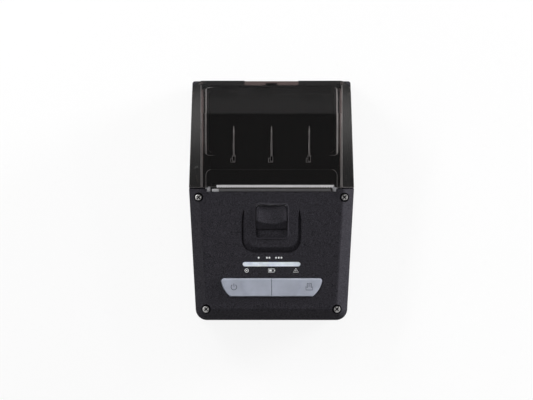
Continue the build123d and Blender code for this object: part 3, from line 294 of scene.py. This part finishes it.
cover = nodes["cover"].data
mark_creases(cover, on_cover_outside)
if "custom_normal" in cover.attributes:
    cover.attributes.remove(cover.attributes["custom_normal"])
weld = nodes["cover"].modifiers.new("weld", "WELD")
weld.merge_threshold = WELD_GAP * MM
flat = nodes["cover"].modifiers.new("flat", "DECIMATE")
flat.decimate_type = "DISSOLVE"
flat.angle_limit = math.radians(0.3)
flat.delimit = {"SHARP"}
soft = nodes["cover"].modifiers.new("soft", "BEVEL")
soft.width = SOFT_WIDE * MM
soft.segments = 2
soft.limit_method = "WEIGHT"
soft.use_clamp_overlap = False
soft.harden_normals = True
# the bevel's faces take the second material, a lighter one that paints a highlight along the edges
soft.material = 1
cover.materials.append(satin_plastic("cover_edge_painted_highlight", (0.12, 0.11, 0.108), 0.36))

# Crosses in the case screws' heads, painted dark as the shade in their recesses, in millimetres
CROSS_R = 1.15
CROSS_DEEP = 0.85
RIM_DEEP = 0.02             # what counts as the top of a head
HALFWAY_Y = -25             # between the front and the rear pair of screws
screws = nodes["case_screws"].data
screws.materials.append(metal("painted_shade_cross", (0.045, 0.044, 0.044), 0.6, (4, 4, 1)))
heads = {}
for vert in screws.vertices:
    point = vert.co / MM
    heads.setdefault((point.x > 0, point.y > HALFWAY_Y), []).append(point)
for face in screws.polygons:
    x, y, z = face.center / MM
    points = heads[x > 0, y > HALFWAY_Y]
    top = max(point.z for point in points)
    mid_x, mid_y = ((min(point[i] for point in points) + max(point[i] for point in points)) / 2
                    for i in (0, 1))
    in_cross = math.hypot(x - mid_x, y - mid_y) < CROSS_R
    if in_cross and top - CROSS_DEEP < z < top - RIM_DEEP:
        # faces down in the cross take the dark material: painted shade
        face.material_index = 1

# Springs, with the joint that moves what they press on and its travel in millimetres at the joint's
# limit; here each spring only gets a mesh of its own, and none is shortened
DECK_ALONG = (0, 0.997694, 0.06787)
LATCH_TRAVEL = 3.4
HEAD_TRAVEL = 0.28              # 2 degrees, at the height of the springs above the head's shaft
for spring, joint, along, travel in (("latch_springs", "latch_slide", DECK_ALONG, LATCH_TRAVEL),
                                     ("head_springs", "head_tilt", (0, 1, 0), HEAD_TRAVEL)):
    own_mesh(nodes[spring])

# Printed marks, in millimetres on the deck
INK_THICK = 0.02                # how far a mark goes into and out of its surface


def strip(bm, points, wide, closed, low, high):
    """A line of that width along 2-D points on the deck, from low to high above it."""
    count = len(points)
    rows = []
    for i, (x, y) in enumerate(points):
        ahead = points[(i + 1) % count] if closed or i < count - 1 else points[i]
        behind = points[i - 1] if closed or i > 0 else points[i]
        along = Vector((ahead[0] - behind[0], ahead[1] - behind[1])).normalized()
        side = Vector((-along.y, along.x)) * wide / 2
        rows.append([bm.verts.new(on_deck(x + side.x * hand, y + side.y * hand, n))
                     for hand, n in ((1, high), (-1, high), (-1, low), (1, low))])
    pairs = list(zip(rows, rows[1:])) + ([(rows[-1], rows[0])] if closed else [])
    for a, b in pairs:
        for k in range(4):
            bm.faces.new((a[k], a[(k + 1) % 4], b[(k + 1) % 4], b[k]))
    if not closed:
        bm.faces.new(rows[0][::-1])
        bm.faces.new(rows[-1])


def patch(bm, points, low, high):
    """A flat shape with those 2-D corners on the deck, from low to high above it."""
    top = [bm.verts.new(on_deck(x, y, high)) for x, y in points]
    foot = [bm.verts.new(on_deck(x, y, low)) for x, y in points]
    bm.faces.new(top)
    bm.faces.new(foot[::-1])
    for i in range(len(points)):
        j = (i + 1) % len(points)
        bm.faces.new((top[i], foot[i], foot[j], top[j]))


def arc(x, y, r, start, end, count=28):
    """Points of an arc of radius r round (x, y), from start to end in degrees."""
    turns = [math.radians(start + (end - start) * i / count) for i in range(count + 1)]
    return [(x + r * math.cos(a), y + r * math.sin(a)) for a in turns]


def disc(x, y, r, count=24):
    """Corners of a whole circle."""
    return arc(x, y, r, 0, 360 - 360 / count, count - 1)


def mark(name, body, material, lines=(), patches=(), above=0.0):
    """One printed piece: lines of (points, width, closed) and flat patches, that far above the deck."""
    low, high = above - INK_THICK, above + INK_THICK
    bm = bmesh.new()
    for points, wide, closed in lines:
        strip(bm, points, wide, closed, low, high)
    for points in patches:
        patch(bm, points, low, high)
    bmesh.ops.recalc_face_normals(bm, faces=bm.faces)
    mesh = bpy.data.meshes.new(name)
    bm.to_mesh(mesh)
    bm.free()
    mesh.materials.append(material)
    piece = bpy.data.objects.new(name, mesh)
    bpy.context.scene.collection.objects.link(piece)
    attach(piece, body)


def ink(name, colour):
    s = Shader(name, colour, 0.5, IOR=1.45)
    s.tint(s.ramp(s.noise(0.35, 3.0), 0, 1), 0.86, 1.1)
    s.roughness(s.noise(0.6, 2.0), 0.42, 0.6)
    s.bump((s.noise(0.3, 2.0), 0.006))
    return s.material


WHITE_INK = ink("white_print", (0.78, 0.79, 0.8))
GREY_INK = ink("grey_print", (0.1, 0.11, 0.13))
DOTS_X = (-6.2, -2.2, -1.0, 2.2, 3.5, 4.8)
DOT_Y = -27.7
DOT_R = 0.45
mark("level_dots", "base", WHITE_INK,
     patches=[disc(x, DOT_Y, DOT_R) for x in DOTS_X])

# Small signs under the light bar: a ring for state, a cell for charge, a triangle for a fault
SIGN_Y = -33.9
SIGN_LINE = 0.26
STATE_X = -12
FAULT_X = 11.8


def oblong(left, right, half_high):
    """Corners of a rectangle in the row of signs."""
    return [(left, SIGN_Y - half_high), (right, SIGN_Y - half_high),
            (right, SIGN_Y + half_high), (left, SIGN_Y + half_high)]


mark("state_sign", "base", WHITE_INK,
     lines=[(disc(STATE_X, SIGN_Y, 0.85), SIGN_LINE, True)], patches=[disc(STATE_X, SIGN_Y, 0.32)])
mark("charge_sign", "base", WHITE_INK,
     lines=[(oblong(-1.5, 1.3, 0.8), SIGN_LINE, True)],
     patches=[oblong(1.42, 1.75, 0.35), oblong(-1.15, 0.1, 0.45)])
triangle = [(FAULT_X - 1.2, SIGN_Y - 0.85), (FAULT_X + 1.2, SIGN_Y - 0.85), (FAULT_X, SIGN_Y + 1.05)]
stroke = [(FAULT_X, SIGN_Y - 0.2), (FAULT_X, SIGN_Y + 0.35)]
mark("fault_sign", "base", WHITE_INK,
     lines=[(triangle, SIGN_LINE, True), (stroke, 0.24, False)],
     patches=[disc(FAULT_X, SIGN_Y - 0.48, 0.13, 12)])

# Signs on the keys, which stand 0.7 mm out of the deck
KEY_TOP = 0.7
POWER_AT = (-18.2, -41.8)
FEED_AT = (18.3, -41.8)
KEY_LINE = 0.34
TEXT_LINE = 0.22
px, py = POWER_AT
ring = arc(px, py - 0.1, 1.35, 125, 415)
bar = [(px, py + 0.15), (px, py + 1.65)]
mark("power_sign", "power_key", GREY_INK, above=KEY_TOP,
     lines=[(ring, KEY_LINE, False), (bar, KEY_LINE, False)])
qx, qy = FEED_AT
page = [(qx - 1.0, qy - 0.5), (qx - 1.0, qy + 1.7), (qx + 1.0, qy + 1.7), (qx + 1.0, qy - 0.5)]
tray = [(qx - 1.6, qy + 0.2), (qx - 1.6, qy - 1.5), (qx + 1.6, qy - 1.5), (qx + 1.6, qy + 0.2)]
text = [[(qx - 0.55, qy + high), (qx + 0.55, qy + high)] for high in (1.0, 0.4)]
mark("feed_sign", "feed_key", GREY_INK, above=KEY_TOP,
     lines=[(page, KEY_LINE, False), (tray, KEY_LINE, False)]
     + [(line, TEXT_LINE, False) for line in text])

# Floor, backdrop, lamps and camera, in metres
BACKDROP = [(2.6, 0), (2.98, 0.05), (3.22, 0.24), (3.33, 0.55), (3.36, 1.5)]
BACKDROP_STEPS = 64
FLOOR_GLOW = 0.88               # share of plain white that camera, mirror and glass rays see
BASE_X = 0.036                  # half the ground under the base, where the floor doesn't glow
BASE_Y = 0.0575
BASE_EDGE = 0.001


def studio():
    """White floor that turns up into a round backdrop, far from the object."""
    turns = [2 * math.pi * i / BACKDROP_STEPS for i in range(BACKDROP_STEPS)]
    bm = bmesh.new()
    rings = [[bm.verts.new((r * math.cos(a), r * math.sin(a), z)) for a in turns]
             for r, z in BACKDROP]
    bm.faces.new(rings[0])
    for a, b in zip(rings, rings[1:]):
        for i in range(BACKDROP_STEPS):
            j = (i + 1) % BACKDROP_STEPS
            bm.faces.new((a[i], a[j], b[j], b[i]))
    mesh = bpy.data.meshes.new("studio_floor")
    bm.to_mesh(mesh)
    bm.free()
    s = Shader("white_floor", (0.9, 0.9, 0.9), 0.7)
    s.tint(s.ramp(s.noise(60, 2.0), 0, 1), 0.985, 1.015)

    def maths(operation, *values, **settings):
        inputs = dict(enumerate(values))
        return s.node("ShaderNodeMath", inputs, operation=operation, **settings).outputs[0]

    rays = s.node("ShaderNodeLightPath").outputs
    seen = maths("ADD", rays["Is Camera Ray"], rays["Is Glossy Ray"])
    seen = maths("ADD", seen, rays["Is Transmission Ray"])
    share = maths("MULTIPLY", seen, FLOOR_GLOW, use_clamp=True)
    # none of it under the object, so that the gaps round its base stay dark
    place = s.node("ShaderNodeSeparateXYZ", {0: s.coord}).outputs
    across, along = (s.ramp(maths("ABSOLUTE", place[i]), 1, 0, edge - BASE_EDGE, edge)
                     for i, edge in ((0, BASE_X), (1, BASE_Y)))
    clear = maths("SUBTRACT", 1.0, maths("MULTIPLY", across, along))
    share = maths("MULTIPLY", share, clear)
    glow = s.node("ShaderNodeEmission", {"Color": (1, 1, 1, 1), "Strength": 1.0})
    mixed = s.node("ShaderNodeMixShader", {0: share, 1: s.bsdf.outputs[0], 2: glow.outputs[0]})
    s.tree.links.new(mixed.outputs[0], s.out.inputs["Surface"])
    mesh.materials.append(s.material)
    floor = bpy.data.objects.new("studio_floor", mesh)
    bpy.context.scene.collection.objects.link(floor)


def lamp(name, place, aim, size, level, mirrored=True):
    """Area lamp that adds about that level to a surface facing it; not mirrored, no gloss shows it."""
    light = bpy.data.lights.new(name, "AREA")
    light.shape = "RECTANGLE"
    light.size, light.size_y = size
    ray = Vector(aim) - Vector(place)
    light.energy = level * math.pi ** 2 * ray.length ** 2
    made = bpy.data.objects.new(name, light)
    turn = ray.to_track_quat("-Z", "Y").to_matrix().to_4x4()
    made.matrix_world = Matrix.Translation(place) @ turn
    made.visible_glossy = mirrored
    bpy.context.scene.collection.objects.link(made)


studio()
CENTRE = (0, 0, 0.03)
lamp("right_low_lamp", (1.2, 0.55, 0.17), CENTRE, (0.45, 0.24), 2.0, mirrored=False)
lamp("rear_panel", (0, 0.95, 0.98), CENTRE, (0.7, 0.8), 0.17)
lamp("left_rear_lamp", (-0.4, 0.42, 0.4), CENTRE, (0.2, 0.2), 0.38)
lamp("left_strip", (-0.95, 0.4, 0.95), CENTRE, (1.2, 0.05), 0.28)
lamp("right_strip", (1.08, 0.4, 0.8), CENTRE, (1.2, 0.05), 0.17)
lamp("top_card", (0, -0.7, 2.6), (0, -0.7, 0), (1.6, 2.6), 0.11)

world = bpy.data.worlds.new("studio_world")
world.use_nodes = True
background = world.node_tree.nodes["Background"].inputs
background["Color"].default_value = (0.1, 0.1, 0.103, 1)
background["Strength"].default_value = 1.0
bpy.context.scene.world = world

ACROSS = 0.2576                 # width of the view at the deck's height
VIEW_HIGH = 2.4
AIM = (-0.00242, 0.00029, 0.036)
SENSOR = 36
lens = bpy.data.cameras.new("camera")
lens.sensor_width = SENSOR
lens.lens = SENSOR * VIEW_HIGH / ACROSS
lens.clip_end = 20
camera = bpy.data.objects.new("camera", lens)
camera.location = (AIM[0], AIM[1], AIM[2] + VIEW_HIGH)
bpy.context.scene.collection.objects.link(camera)
bpy.context.scene.camera = camera
bpy.context.scene.view_settings.view_transform = "Standard"
